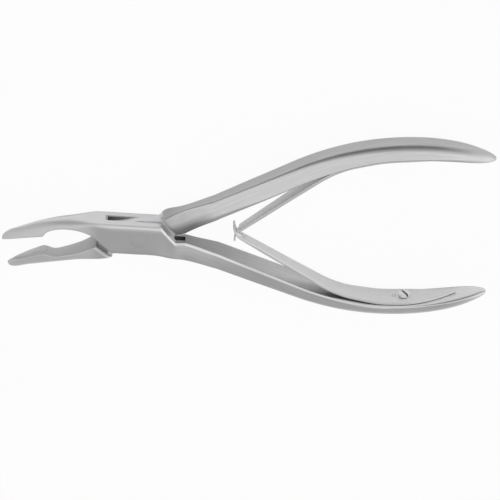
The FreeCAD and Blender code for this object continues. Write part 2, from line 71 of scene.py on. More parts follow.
# %% [markdown]
# ## The camera
#
# The photograph looks at the tool 30.5 degrees off the pivot's axis, from the side of the upper
# handle, with a long lens. The tilt was worked out from the two matching handles: only one viewpoint
# makes both the same length. The lens follows from the distance and from how many pixels a
# millimetre takes up. Making the camera first means every later look at the render can be laid over
# the photograph.

# %% Camera
VIEW_TILT = math.radians(30.5)
VIEW_TURN = math.radians(-1.6)
VIEW_DISTANCE = 480.0
VIEW_TARGET = Vector((34.05, -5.6, 0.0))
HALF_BOX = 4.5
SENSOR, PICTURE_PIXELS, PIXELS_PER_MM = 36.0, 500.0, 3.26

camera = bpy.data.objects.new("camera", bpy.data.cameras.new("camera"))
bpy.context.scene.collection.objects.link(camera)
toward = Vector((0.0, math.sin(VIEW_TILT), math.cos(VIEW_TILT)))
place = Matrix.Rotation(VIEW_TURN, 3, "Z") @ (VIEW_TARGET + toward * VIEW_DISTANCE)
camera.location = (place + Vector((0.0, 0.0, HALF_BOX))) * MM
camera.rotation_euler = (-VIEW_TILT, 0.0, VIEW_TURN)
camera.data.sensor_width = SENSOR
camera.data.lens = SENSOR * PIXELS_PER_MM * VIEW_DISTANCE / PICTURE_PIXELS
camera.data.clip_start = 0.01
camera.data.clip_end = 50.0
bpy.context.scene.camera = camera
print("lens", round(camera.data.lens, 1), "mm")

# %% [markdown]
# ## Drawing with arrays
#
# Each curve of a forging is a formula in x, the distance along the tool. Where a line has to pass
# through a few measured places, a cubic through those places does it: between two places the curve
# leaves and arrives with the slope of its neighbours, so the surface shows no kink in the reflections.


# %% Curves
def through(xs, ys, x):
    """Cubic through the places (xs, ys). The slope at each is the mean slope of its two spans."""
    xs, ys, x = (np.asarray(a, float) for a in (xs, ys, x))
    step = np.diff(ys) / np.diff(xs)
    slope = np.concatenate([[step[0]], (step[1:] + step[:-1]) / 2, [step[-1]]])
    i = np.clip(np.searchsorted(xs, x, side="right") - 1, 0, len(xs) - 2)
    span = xs[i + 1] - xs[i]
    t = np.clip((x - xs[i]) / span, 0.0, 1.0)
    return (ys[i] * (1 + 2 * t) * (1 - t) ** 2 + ys[i + 1] * t * t * (3 - 2 * t)
            + span * t * (1 - t) * (slope[i] * (1 - t) - slope[i + 1] * t))


def spaced(a, b, count, at_start=False, at_end=False):
    """count numbers from a to b, crowded towards the ends that are named."""
    s = np.linspace(0.0, 1.0, count)
    if at_start and at_end:
        s = (1 - np.cos(np.pi * s)) / 2
    elif at_start:
        s = 1 - np.cos(np.pi * s / 2)
    elif at_end:
        s = np.sin(np.pi * s / 2)
    return a + (b - a) * s


def share_of(x, start, end):
    """Share of the way from start to end, held between 0 and 1."""
    return np.clip((x - start) / (end - start), 0.0, 1.0)


def smooth(share):
    """Soft step from 0 to 1: three times the square of the share less twice its cube."""
    return share * share * (3 - 2 * share)


# %% [markdown]
# ## The outline of a half
#
# Both halves come from the same pair of dies. Each is drawn closed, with its jaw up and its handle
# down, and the pivot at 0, 0. The jaw's back is a quarter of an ellipse over the bite, the handle is a
# straight leg that runs into the arc of the palm. The numbers began as the ones the CAD source uses
# and were then fitted to the photograph, so the dressed part and the solids agree within 2 mm. Where
# a number has two values, 1 is the box half and -1 the tenon half.

# %% Sizes of a half, in millimetres
OPEN = 11.0
BOX_HIGH = 5.15
JAW = 41.5
JAW_ROOT = 12.5
TIP_WIDE = 3.8
BITE_RADIUS, BITE_GAP = 98.0, 0.06
RIM_END = {1: 28.8, -1: 29.8}
RIM_STEP = {1: 1.1, -1: 0.6}
NECK, NECK_HIGH = 14.5, 7.3
LEG_START = 24.5
BEND, BEND_HIGH, LEG = 49.5, 17.8, math.radians(18.3)
PALM_RADIUS, PALM, PALM_WIDE, PALM_THICK = 82.0, 75.0, 11.0, 4.1
HANDLE_END = {1: 108.6, -1: 109.5}
SWELL, SWELL_START = 0.35, 40.0
NECK_THICK = {1: 6.7, -1: 6.1}
NECK_EXTRA, NECK_FADE = 1.45, 12.0
ROOT_AT = [0.0, 6.0, 10.25, NECK, LEG_START]


def bite(x, side):
    """The line on which the jaws close: an arc tangent to the axis, mirrored for the other half."""
    run = np.maximum(0.0, -x - JAW_ROOT)
    return side * (np.sqrt(BITE_RADIUS ** 2 - run ** 2) - BITE_RADIUS)


def jaw_share(x):
    """Share of the way from the root of the jaw to its tip."""
    return share_of(x, -JAW_ROOT, -JAW)


def jaw_width(x):
    """Thickness of the jaw: it narrows evenly from the box to the tip, and is rounded off there."""
    share = jaw_share(x)
    return (2 * HALF_BOX - (2 * HALF_BOX - TIP_WIDE) * share) * np.sqrt(1 - share ** 8)


def back(x, side):
    """Top of the jaw and of the box: a quarter ellipse over the bite line, fuller at the tip and a
    little higher in between."""
    share = jaw_share(x)
    power = 0.5 - 0.17 * smooth(share_of(share, 0.75, 0.95))
    heavy = share_of(share, 0.05, 0.35) * (1 - share ** 2) * (0.3 if side < 0 else 0.2)
    return bite(x, side) + BOX_HIGH * (1 - share ** 2) ** power + heavy


def mouth(x, side):
    """Underside of the jaw: the cutting rim, then the step up into the throat."""
    end = -RIM_END[side]
    rise = through([-40.0, end - 0.8, end, end + 1.0, end + 3.0, -23.1, -17.8, -13.0],
                   [0.0, 0.0, 0.1, RIM_STEP[side], 1.85, 2.2, 1.76, 0.3], x)
    return bite(x, side) + BITE_GAP + np.where(x < end - 0.8, 0.0, rise)


def leg_line(x):
    """The straight part of the handle's outside, up to the bend."""
    return BEND_HIGH - (BEND - x) * math.tan(LEG)


def outer(x):
    """Lower side of the box, then the outside of the handle: a leg and the palm's arc."""
    crest = BEND + PALM_RADIUS * math.sin(LEG)
    centre = BEND_HIGH - PALM_RADIUS * math.cos(LEG)
    arc = centre + np.sqrt(PALM_RADIUS ** 2 - np.clip(x - crest, -60, 60) ** 2)
    root = through(ROOT_AT, [BOX_HIGH, BOX_HIGH, 6.44, NECK_HIGH, leg_line(LEG_START)], x)
    line = np.where(x < LEG_START, root, np.where(x < BEND, leg_line(x), arc))
    return line + SWELL * smooth(share_of(x, SWELL_START, PALM))


def past_palm(x, side):
    """Share of the way from the palm to the end of the handle."""
    return share_of(x, PALM, HANDLE_END[side])


def inner(x, side):
    """Inside of the handle. The steel thins evenly to the palm and is rounded off at the end, and the
    tenon half has some more of it at the neck."""
    full = NECK_THICK[side] + (PALM_THICK + SWELL - NECK_THICK[side]) * share_of(x, NECK, PALM)
    if side < 0:
        full = full + NECK_EXTRA * share_of(x, NECK + NECK_FADE, NECK) ** 1.5
    line = outer(np.maximum(x, NECK)) - full / 2
    return line - full / 2 * np.sqrt(1 - past_palm(x, side) ** 6)


def outer_end(x, side):
    """Outside of the handle with its end rounded off towards the middle of the steel."""
    return outer(x) - PALM_THICK / 2 * (1 - np.sqrt(1 - past_palm(x, side) ** 6))


# %% [markdown]
# ## How thick a half is
#
# Seen along the tool, a handle is a keystone: a narrow ridge outside, slanted flanks and a wider flat
# face inside. The half thickness is worked out for every point of the outline's inside, so one
# surface can carry the flat box, the slanted flank and the ridge without a seam.


# %% Half thickness
JAW_LEAN, WAIST, HANDLE_FROM = 0.3, 3.0, 3.0
LEG_RIDGE = 8.91 * 0.5165 / 2
LEG_SLOPE = {1: 0.340, -1: 0.370}


def flank(x, y, side):
    """Half thickness before the edges are rounded: straight lines from the ridge to the face."""
    share, wide = jaw_share(x), jaw_width(x)
    lean = JAW_LEAN * share * wide / (BOX_HIGH * np.sqrt(np.maximum(1 - share ** 2, 1e-6)))
    jaw = wide / 2 - lean * (y - bite(x, side))
    waist = share_of(x, PALM, NECK)
    width = (PALM_WIDE - WAIST * waist ** 2) * np.sqrt(1 - past_palm(x, side) ** 4)
    ridge = width * (0.5 + 0.1 * share_of(x, NECK, PALM))
    deep = np.maximum(outer_end(x, side) - inner(x, side), 0.05)
    slope = (width - ridge) / 2 / deep
    root_ridge = through(ROOT_AT, [HALF_BOX, HALF_BOX, 3.25, 2.0, LEG_RIDGE], x)
    root_slope = through(ROOT_AT, [0.0, 0.0, 0.108, 0.2008, LEG_SLOPE[side]], x)
    ridge = np.where(x < LEG_START, root_ridge, ridge / 2)
    slope = np.where(x < LEG_START, root_slope, slope)
    return np.where(x < HANDLE_FROM, jaw, ridge + slope * (y + outer_end(x, side)))


def nearest(points, line, size):
    """Distance from each point to a polyline, and the rounding's size where it is nearest."""
    a, b = line[:-1], line[1:]
    run = b - a
    rel = points[:, None, :] - a[None]
    t = np.clip((rel * run).sum(2) / np.maximum((run ** 2).sum(1), 1e-12), 0.0, 1.0)
    gap = np.sqrt(((rel - t[:, :, None] * run) ** 2).sum(2))
    i = gap.argmin(1)
    j = np.arange(len(points))
    return gap[j, i], size[i] + (size[i + 1] - size[i]) * t[j, i, None]


CHUNK = 4000


def rounding(points, edges):
    """How much the polisher takes off: a quarter ellipse or a flat bevel at each edge, as wide
    across the flank and as deep as its line says. Where the lines of one group meet in a hollow
    corner the larger one counts, and different groups add up. The points are taken a chunk at a
    time, so that the table of distances stays small."""
    total = np.zeros(len(points))
    for group in edges:
        most = np.zeros(len(points))
        for line, size in group:
            for chunk in range(0, len(points), CHUNK):
                part = slice(chunk, chunk + CHUNK)
                gap, r = nearest(points[part], line, size)
                wide, deep, flat = np.maximum(r, 1e-6).T
                inside = np.clip(1 - gap / wide, 0.0, 1.0)
                cut = 1 - np.sqrt(1 - inside ** 2)
                most[part] = np.maximum(most[part], deep * (cut + flat * (inside - cut)))
        total += most
    return total


def edge(x, y, wide, deep=None, flat=0.0):
    """An edge line with the width and depth of its rounding along it. flat = 1 makes a bevel."""
    deep = wide if deep is None else deep
    ones = np.ones(len(x))
    return np.column_stack([x, y]), np.column_stack([wide * ones, deep * ones, flat * ones])


# %% [markdown]
# ## From arrays to a mesh
#
# A closed skin is a stack of rings. Here a ring goes over the near flank, down the outer wall, back
# along the far flank and up the inner wall. The faces between two rings are four-sided, the first and
# last ring are closed by one face each, and a UV map in centimetres follows the rings, so that a
# polishing grain can run along the steel.


# %% Mesh helpers
MERGE, SLIVER, SHARP = 2e-7, 1e-8, math.radians(32.0)


def turn_outwards(work):
    """Makes the faces agree with each other and look away from the solid."""
    bmesh.ops.recalc_face_normals(work, faces=work.faces)
    if work.calc_volume(signed=True) < 0:
        bmesh.ops.reverse_faces(work, faces=work.faces)


def outward(mesh):
    """Merges a mesh's doubles and turns its faces outwards, so that a boolean can trust it."""
    work = bmesh.new()
    work.from_mesh(mesh)
    bmesh.ops.remove_doubles(work, verts=work.verts, dist=MERGE)
    turn_outwards(work)
    work.to_mesh(mesh)
    work.free()
    return mesh


def finish_mesh(name, mesh):
    """Merges doubles, turns the faces outwards, marks the sharp edges and links the object."""
    work = bmesh.new()
    work.from_mesh(mesh)
    bmesh.ops.remove_doubles(work, verts=work.verts, dist=MERGE)
    bmesh.ops.dissolve_degenerate(work, edges=work.edges, dist=SLIVER)
    turn_outwards(work)
    open_edges = sum(1 for e in work.edges if len(e.link_faces) != 2)
    work.to_mesh(mesh)
    work.free()
    mesh.shade_smooth()
    mesh.set_sharp_from_angle(angle=SHARP)
    piece = bpy.data.objects.new(name, mesh)
    bpy.context.scene.collection.objects.link(piece)
    print(name, len(mesh.polygons), "faces,", open_edges, "open edges")
    return piece


def ring_mesh(name, rings, along, around):
    """Skin over rings of shape (count, places, 3) in metres, with its UV map and closed ends."""
    count, places = rings.shape[:2]
    i, j = np.meshgrid(np.arange(count - 1), np.arange(places), indexing="ij")
    k = (j + 1) % places
    quads = np.stack([i * places + j, i * places + k, (i + 1) * places + k,
                      (i + 1) * places + j], -1).reshape(-1, 4)
    caps = [list(range(places)), list(range((count - 1) * places, count * places))]
    mesh = bpy.data.meshes.new(name)
    mesh.from_pydata(rings.reshape(-1, 3), [], quads.tolist() + caps)
    uv = np.stack([
        np.stack([along[i], around[j]], -1), np.stack([along[i], around[j + 1]], -1),
        np.stack([along[i + 1], around[j + 1]], -1), np.stack([along[i + 1], around[j]], -1)],
        2).reshape(-1, 2)
    ends = np.concatenate([np.stack([np.full(places, along[e]), around[:-1]], -1) for e in (0, -1)])
    layer = mesh.uv_layers.new(name="grain")
    layer.data.foreach_set("uv", np.concatenate([uv, ends]).astype(np.float32).ravel())
    return mesh


def into_frame(points, side):
    """From a half's own closed drawing to the tool as it lies open: mirror, turn and lift."""
    turn = math.radians(-side * OPEN / 2)
    x, y, z = points[..., 0], side * points[..., 1], points[..., 2]
    return np.stack([x * math.cos(turn) - y * math.sin(turn),
                     x * math.sin(turn) + y * math.cos(turn), z + HALF_BOX], -1) * MM


def forge(name, side, top, low, edges, cup=None, across=34, rows=24):
    """Skin between an upper and a lower outline. Across it the stations crowd towards both
    outlines, where the edges are round. The half thickness is the flank less the rounding."""
    f = spaced(0.0, 1.0, across, at_start=True, at_end=True)
    flat = top[:, None] + (low - top)[:, None] * f[None, :, None]
    points = flat.reshape(-1, 2)
    high = flank(points[:, 0], points[:, 1], side)
    high = np.maximum(high - rounding(points, edges), 0.03 * high).reshape(flat.shape[:2])
    face = np.dstack([flat, high])
    fall = np.linspace(1, -1, rows + 2)[1:-1]
    low_wall = np.concatenate([
        np.repeat(low[:, None], rows, 1), (high[:, -1:] * fall)[:, :, None]], 2)
    if cup is not None:
        low_wall[:, :, 1] += cup(low_wall[:, :, 0], low_wall[:, :, 2])
    few = fall[::3][::-1]
    top_wall = np.concatenate([
        np.repeat(top[:, None], len(few), 1), (high[:, :1] * few)[:, :, None]], 2)
    far = face[:, ::-1] * np.array([1, 1, -1])
    rings = np.concatenate([face, low_wall, far, top_wall], 1)
    middle = (top + low) / 2
    along = np.concatenate([[0], np.cumsum(np.hypot(*np.diff(middle, axis=0).T))]) / 10
    around = np.concatenate([np.linspace(0.0, 1.0, across), np.linspace(1.03, 1.97, rows),
                             np.linspace(2.0, 3.0, across), np.linspace(3.05, 3.95, len(few)), [4.0]])
    return ring_mesh(name, into_frame(rings, side), along, around)


def boolean(mesh, tool, operation):
    """Exact boolean of two meshes, kept as a plain mesh."""
    target = bpy.data.objects.new("boolean_target", mesh)
    cutter = bpy.data.objects.new("boolean_cutter", tool)
    for item in (target, cutter):
        bpy.context.scene.collection.objects.link(item)
    step = target.modifiers.new("step", "BOOLEAN")
    step.solver = "EXACT"
    step.operation = operation
    step.object = cutter
    bpy.context.view_layer.update()
    made = bpy.data.meshes.new_from_object(
        target.evaluated_get(bpy.context.evaluated_depsgraph_get()))
    for item in (target, cutter):
        bpy.data.objects.remove(item)
    return made


def block(name, rings, side, band):
    """Closed body over two rings, the whole of it at one place across the UV map."""
    around = np.full(rings.shape[1] + 1, band)
    return outward(ring_mesh(name, into_frame(rings, side), np.array([0.0, 0.1]), around))


def prism(outline, half, side, band=6.0):
    """Straight-sided block over an outline, as thick as 2 * half. The band is the second UV
    coordinate of all it makes or cuts: 5 is a milled face, 6 the inside of a slot or hole."""
    outline = np.asarray(outline, float)
    rings = np.stack([np.column_stack([outline, np.full(len(outline), z)]) for z in (half, -half)])
    return block("prism", rings, side, band)


def bar(outline, start, end, side):
    """Block that runs along the tool from start to end over an outline across it."""
    outline = np.asarray(outline, float)
    rings = np.stack([np.column_stack([np.full(len(outline), x), outline]) for x in (start, end)])
    return block("bar", rings, side, 0.5)


def bore(radius, side, half=8.0, places=96):
    """Round cutter along the pivot."""
    turn = np.linspace(0, 2 * np.pi, places, endpoint=False)
    return prism(np.column_stack([radius * np.cos(turn), radius * np.sin(turn)]), half, side)


def rectangle(long, high):
    """Outline of a rectangle round 0, 0 with these half sides."""
    return [(-long, -high), (long, -high), (long, high), (-long, high)]


# %% [markdown]
# ## The edge lines
#
# A hand-finished forging has no two edges alike. The back of the jaw and the ridge of the handle are
# broad rounds, the rim is nearly sharp because it cuts, the throat is eased so that it doesn't bruise,
# and the machined lines of the joint only have their burr taken off.


# %% Edges shared by both halves
TOP_EASE = 1.2
BACK_WIDE, BACK_DEEP = {1: 3.2, -1: 2.4}, {1: 0.46, -1: 0.33}


def jaw_edges(side, crotch):
    """Round back of the jaw, and the rim and throat with their smaller rounding."""
    x = np.concatenate([spaced(-JAW + 1e-4, -30, 60, at_start=True), np.linspace(-29.8, 10.0, 80)])
    ridge = jaw_width(x) * (1 - 0.6 * jaw_share(x))
    tall = back(x, side) - mouth(x, side)
    tip = smooth(share_of(x, -13.0, -22.0))
    wide = TOP_EASE + (np.minimum(BACK_WIDE[side], 0.85 * tall) - TOP_EASE) * tip
    deep = TOP_EASE + (BACK_DEEP[side] * ridge - TOP_EASE) * tip
    rim_x = np.concatenate([spaced(-JAW + 1e-4, -30, 40, at_start=True),
                            np.linspace(-29.8, crotch, 60)])
    ease = through([-JAW, -40.0, -30.0, -28.0, -24.0, -18.0, -15.0, crotch],
                   [0.02, 0.16, 0.3, 0.4, 0.5, 0.6, 0.5, 0.3], rim_x)
    return edge(x, back(x, side), wide, deep), edge(rim_x, mouth(rim_x, side), ease)


def handle_stations(side, start):
    """Places along the handle, crowded towards its rounded end."""
    return np.concatenate([np.linspace(start, PALM - 0.1, 150),
                           spaced(PALM, HANDLE_END[side], 60, at_end=True)])


def ridge_edge(side, start):
    """Outside of the handle: a crisp ridge at the neck that softens towards the palm."""
    x = handle_stations(side, start)
    r = through([-20.0, 6.0, 10.25, NECK, LEG_START, 45.0, 60.0, PALM, 90.0, 130.0],
                [1.2, 1.2, 0.9, 0.5, 0.5, 0.8, 1.4, 1.9, 2.0, 2.0], x)
    r = np.minimum(r, 0.28 * PALM_WIDE * np.sqrt(1 - past_palm(x, side) ** 4))
    return edge(x, -outer_end(x, side), np.maximum(r, 0.01))


def face_edge(side, start):
    """Inside of the handle: the milled face has its edges eased by hand, most of all at the neck of
    the half that crosses inside, and again near the end."""
    x = handle_stations(side, start)
    neck = {1: [0.5, 0.6, 0.6, 0.6, 0.6], -1: [2.0, 2.0, 1.4, 0.6, 0.45]}[side]
    wide = through([10.0, 18.0, 30.0, 42.0, 75.0, 88.0, 98.0, 130.0], [*neck, 0.6, 1.3, 1.6], x)
    deep = wide * (0.75 if side < 0 else 1.0)
    end = 0.3 * PALM_WIDE * np.sqrt(1 - past_palm(x, side) ** 4)
    flat = share_of(x, 96.0, 84.0) if side > 0 else 0.0
    return edge(x, -inner(x, side), np.maximum(np.minimum(wide, end), 0.01),
                np.maximum(np.minimum(deep, end), 0.01), flat)


# %% [markdown]
# ## The jaw's cup
#
# A rongeur bites with two small spoons. The hollow is ground out of the rim face and leaves a lip all
# round. It is worked straight into the wall of the skin: a bowl that is deepest in the middle.


# %% Cup
CUP_AT, CUP_HALF, CUP_DEEP, CUP_LIP = -34.3, 5.6, 1.75, 0.3


def cup_hollow(x, z):
    """Depth of the hollow: a bowl over an oval that follows the outline of the jaw."""
    half = np.maximum(jaw_width(x) / 2 - CUP_LIP, 0.2)
    oval = 1 - np.abs((x - CUP_AT) / CUP_HALF) ** 2.6 - (z / half) ** 2
    return CUP_DEEP * np.maximum(oval, 0.0) ** 0.55


# %% [markdown]
# ## The box half
#
# This half is slotted. Its outline runs over the jaw and the box, down the slanted rear edge of the
# cheeks and along the handle. The slot is cut afterwards with an exact boolean, as the milling cutter
# does on the real piece. A shallow bevel eases the long sides of the window that the slot leaves in
# the top of the box, and the pivot hole is bored through both cheeks.

# %% Box half
FRONT, FRONT_ANGLE = 12.95, math.radians(42.8)
REAR, REAR_ANGLE = 11.0, math.radians(51.5)
FRONT_SLANT, REAR_SLANT = math.tan(FRONT_ANGLE), math.tan(REAR_ANGLE)
CROTCH_RISE, THROAT_FROM, TOP_FROM, ROOT_FROM, ROOT_TO = 0.3, -30.0, -8.2, 8.4, 12.8
crotch_x = -FRONT - CROTCH_RISE / FRONT_SLANT
crotch_y = float(mouth(crotch_x, 1))
cheek_toe = -FRONT + BOX_HIGH / FRONT_SLANT
cheek_heel = REAR - BOX_HIGH / REAR_SLANT
box_root = float(inner(NECK, 1))
heel_x = REAR + box_root / REAR_SLANT

tip_x = spaced(-JAW + 1e-3, THROAT_FROM, 70, at_start=True)
throat_x = spaced(THROAT_FROM, crotch_x, 80, at_start=True, at_end=True)[1:]
even = np.linspace(0, 1, 26)[1:]
crowded = spaced(0, 1, 46, at_start=True, at_end=True)[1:]
to_palm = np.linspace(0, 1, 120)[1:]
palm_x = {side: spaced(PALM, HANDLE_END[side] - 1e-3, 70, at_end=True)[1:] for side in (1, -1)}
face_x = np.concatenate([to_palm * (PALM - heel_x) + heel_x, palm_x[1]])
ridge_x = np.concatenate([to_palm * (PALM - ROOT_TO) + ROOT_TO, palm_x[1]])
top_x = np.concatenate([tip_x, throat_x, crotch_x + even * (TOP_FROM - crotch_x),
                        TOP_FROM + crowded * (cheek_heel - TOP_FROM)])
top_line = np.concatenate([
    np.column_stack([top_x, back(top_x, 1)]),
    np.column_stack([cheek_heel + even * (heel_x - cheek_heel),
                     BOX_HIGH - even * (BOX_HIGH + box_root)]),
    np.column_stack([face_x, -inner(face_x, 1)])])
box_low = cheek_toe + crowded * (ROOT_FROM - cheek_toe)
root_low = ROOT_FROM + even * (ROOT_TO - ROOT_FROM)
low_line = np.concatenate([
    np.column_stack([tip_x, mouth(tip_x, 1)]), np.column_stack([throat_x, mouth(throat_x, 1)]),
    np.column_stack([crotch_x + even * (cheek_toe - crotch_x),
                     crotch_y - even * (BOX_HIGH + crotch_y)]),
    np.column_stack([box_low, -outer(box_low)]), np.column_stack([root_low, -outer(root_low)]),
    np.column_stack([ridge_x, -outer_end(ridge_x, 1)])])

back_edge, rim_edge = jaw_edges(1, crotch_x)
cheek_front = edge([crotch_x, cheek_toe + 1.0], [CROTCH_RISE, -BOX_HIGH - FRONT_SLANT], 0.3)
cheek_rear = edge([cheek_heel - 1.0, heel_x], [BOX_HIGH + REAR_SLANT, -box_root], 0.5, flat=0.7)
box_edges = [[back_edge], [rim_edge, cheek_front], [ridge_edge(1, cheek_toe - 3.0)],
             [cheek_rear, face_edge(1, heel_x)]]
box_mesh = outward(forge("box_skin", 1, top_line, low_line, box_edges, cup_hollow))

SLOT_HALF, PIVOT = 1.25, 2.0
SLOT_FRONT, SLOT_REAR, SLOT_STEP, SLOT_TOP, SLOT_LOW = -12.6, 14.1, -11.85, 11.2, -13.3
slot_outline = [(SLOT_FRONT + SLOT_TOP / 2, SLOT_TOP), (SLOT_STEP, -1.5), (SLOT_STEP, SLOT_LOW),
                (SLOT_REAR - SLOT_LOW / 2, SLOT_LOW), (SLOT_REAR - SLOT_TOP / 2, SLOT_TOP)]
window_bevel = [(5.4, 1.8), (4.9, 1.24), (4.9, -1.24), (5.4, -1.8)]
for cutter in (prism(slot_outline, SLOT_HALF, 1), bar(window_bevel, -10.05, 8.0, 1), bore(PIVOT, 1)):
    box_mesh = boolean(box_mesh, cutter, "DIFFERENCE")
box_piece = finish_mesh("box_half_skin", box_mesh)

# %% [markdown]
# ## The tenon half
#
# The crossing part of this half is thinned to a tenon between two slanted shoulders. It is easiest as
# three bodies, the jaw, the handle and the tenon, each with its own clean edges, joined by an exact
# boolean into one skin. The first and last ring of the jaw and of the handle lie on the shoulders.
# The front corner of the tenon is cut back, so that it clears the slot when the jaws close.

# %% Tenon half
FRONT_GAP, REAR_GAP, TENON_HALF = 0.4, 1.2, SLOT_HALF - 0.08
SHOULDER_SLANT = math.tan(math.radians(47.5))
JAW_STOP, STEP_X, FOOT_RUN = -16.0, 11.8, 2.4
shoulder_front = FRONT + FRONT_GAP / math.sin(FRONT_ANGLE)
shoulder_rear = REAR + REAR_GAP / math.sin(REAR_ANGLE)
low_y = float(mouth(-13.66, -1))
jaw_low_end = np.array([-shoulder_front + low_y / FRONT_SLANT, low_y])
jaw_top_end = np.array([jaw_low_end[0] + (BOX_HIGH - low_y) / SHOULDER_SLANT, BOX_HIGH])
throat_x = spaced(THROAT_FROM, JAW_STOP, 64, at_start=True)[1:]
last = spaced(0, 1, 44, at_end=True)[1:]
top_last, low_last = (JAW_STOP + last * (end[0] - JAW_STOP) for end in (jaw_top_end, jaw_low_end))
jaw_top = np.concatenate([np.column_stack([x, back(x, -1)]) for x in (tip_x, throat_x, top_last)])
jaw_low = np.concatenate([np.column_stack([x, mouth(x, -1)]) for x in (tip_x, throat_x, low_last)])
jaw_low[-1] = jaw_low_end
back_edge, rim_edge = jaw_edges(-1, jaw_low_end[0])
along_front = (jaw_top_end - jaw_low_end) / np.linalg.norm(jaw_top_end - jaw_low_end)
front_line = np.array([jaw_low_end - along_front, jaw_top_end + along_front * 3])
front_shoulder = edge(*front_line.T, 0.65, flat=0.8)
jaw_mesh = outward(forge("tenon_jaw", -1, jaw_top, jaw_low,
                         [[back_edge], [rim_edge], [front_shoulder]], cup_hollow))

tenon_root = float(inner(NECK, -1))
corner_y = -(shoulder_rear - STEP_X) / (1 / REAR_SLANT + 0.5)
corner = np.array([shoulder_rear + corner_y / REAR_SLANT, corner_y])
elbow = np.array([STEP_X + tenon_root / 2, -tenon_root])
foot_x = shoulder_rear
for _ in range(30):
    foot_x = shoulder_rear - float(outer(foot_x)) / REAR_SLANT
foot = np.array([foot_x, -float(outer(foot_x))])
even = np.linspace(0, 1, 16)
crowded = spaced(0, 1, 150, at_start=True)[1:]
inner_x = np.concatenate([elbow[0] + crowded * (PALM - elbow[0]), palm_x[-1]])
outer_x = np.concatenate([foot_x + even ** 2 * FOOT_RUN,
                          foot_x + FOOT_RUN + crowded * (PALM - foot_x - FOOT_RUN), palm_x[-1]])
handle_top = np.concatenate([corner + even[:, None] * (elbow - corner),
                             np.column_stack([inner_x, -inner(inner_x, -1)])])
handle_low = np.column_stack([outer_x, -outer_end(outer_x, -1)])
rear_long = np.linalg.norm(foot - corner)
along_rear = (foot - corner) / rear_long
rear_at = np.array([-1.0, 0.45 * rear_long, 0.8 * rear_long, rear_long, rear_long + 3.0])
rear_wide = np.array([0.45, 0.45, 1.3, 2.6, 3.4])
rear_shoulder = edge(*(corner + along_rear * rear_at[:, None]).T, rear_wide, rear_wide * 0.62)
neck_step = edge(*np.array([corner, elbow]).T, 0.5)
handle_mesh = outward(forge("tenon_handle", -1, handle_top, handle_low,
                            [[ridge_edge(-1, foot_x - 4.0)], [rear_shoulder],
                             [neck_step, face_edge(-1, elbow[0])]]))
tenon_outline = [(-11.5, 1.55), (-10.95, 0.3), (-11.4 + BOX_HIGH / 2, -BOX_HIGH)]
tenon_outline += [(x, -float(outer(x))) for x in np.linspace(6.0, 10.5, 8)]
tenon_outline += [(13.5, -4.6), (13.4, -tenon_root - 0.4), tuple(elbow),
                  (STEP_X - BOX_HIGH / 2, BOX_HIGH), tuple(jaw_top_end),
                  (jaw_top_end[0] - 2.4, BOX_HIGH - 1.0), (-15.2, 2.4), tuple(jaw_low_end)]
tenon_mesh = prism(tenon_outline, TENON_HALF, -1, 5.0)
tenon_mesh = boolean(boolean(jaw_mesh, tenon_mesh, "UNION"), handle_mesh, "UNION")
tenon_mesh = boolean(tenon_mesh, bore(PIVOT + 0.04, -1), "DIFFERENCE")
tenon_piece = finish_mesh("tenon_half_skin", tenon_mesh)

# %% [markdown]
# ## Round pieces
#
# The pivot pin, the screws and the small locating pins are turned on a lathe, so each is a profile
# spun round an axis. The pin's ends are ground flush and only a hairline shows where it meets the
# cheek. A screw head gets its driver slot with a boolean.


# %% Turned pieces
def spun(name, profile, places=72):
    """Skin of a profile of (radius, height) spun round the Z axis, in millimetres."""
    profile = np.asarray(profile, float)
    turn = np.linspace(0, 2 * np.pi, places, endpoint=False)
    rings = np.stack([profile[:, :1] * np.cos(turn), profile[:, :1] * np.sin(turn),
                      np.repeat(profile[:, 1:], places, 1)], -1)
    along = np.concatenate([[0], np.cumsum(np.hypot(*np.diff(profile, axis=0).T))]) / 10
    return ring_mesh(name, rings, along, np.linspace(0, 1, places + 1))


def rounded_profile(radius, low, high, ease, steps=6):
    """Side view of a turned piece: straight, with a quarter circle at each end."""
    a = np.linspace(0, np.pi / 2, steps)
    lower = np.column_stack([radius - ease + ease * np.sin(a), low + ease - ease * np.cos(a)])
    upper = np.column_stack([radius - ease + ease * np.cos(a), high - ease + ease * np.sin(a)])
    return np.concatenate([[[1e-4, low]], lower, upper, [[1e-4, high]]])


def placed(mesh, matrix):
    """Moves a mesh that is in millimetres to its place in the frame, in metres."""
    mesh.transform(Matrix.Scale(MM, 4) @ matrix)
    return mesh


pin_mesh = spun("pivot_pin_skin", rounded_profile(PIVOT - 0.005, -HALF_BOX, HALF_BOX, 0.04))
pin_piece = finish_mesh("pivot_pin_skin", placed(
    pin_mesh, Matrix.Translation((0, 0, HALF_BOX))))
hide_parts("pivot_pin")

# %% [markdown]
# ## The double springs
#
# Each leaf is a strip of spring steel with a straight blade, a soft bend where it settles on the
# handle and a lancet end under the screw. The tips curl and lock: the upper leaf ends in a tongue that
# passes through an eye in the lower one. A strip is a rounded rectangle carried along a path, with a
# width that changes on the way.

# %% Path of a leaf
LEAF, SEAT_GAP, SEAT, LEAF_END = 0.9, 0.05, 68.5, 99.4
MEET, CURL, CURL_TURN, CURL_TAIL, SOFT_BEND = 30.0, 5.0, math.radians(50.0), 0.7, 6.5
LIFT, LIFT_FADE = 0.25, 9.0
LANCET, SEAT_RING = 82.0, 120
EYE_HALF, TONGUE_HALF = 1.05, 0.75


def seat_at(x, side):
    """Places on the handle's inner face, with the direction along it and the normal off it."""
    y = -inner(x, side)
    rise = (-inner(x + 0.01, side) + inner(x - 0.01, side)) / 0.02
    along = np.stack([np.ones_like(x), rise], -1) / np.sqrt(1 + rise ** 2)[:, None]
    return np.stack([x, y], -1), along, np.stack([-along[:, 1], along[:, 0]], -1)


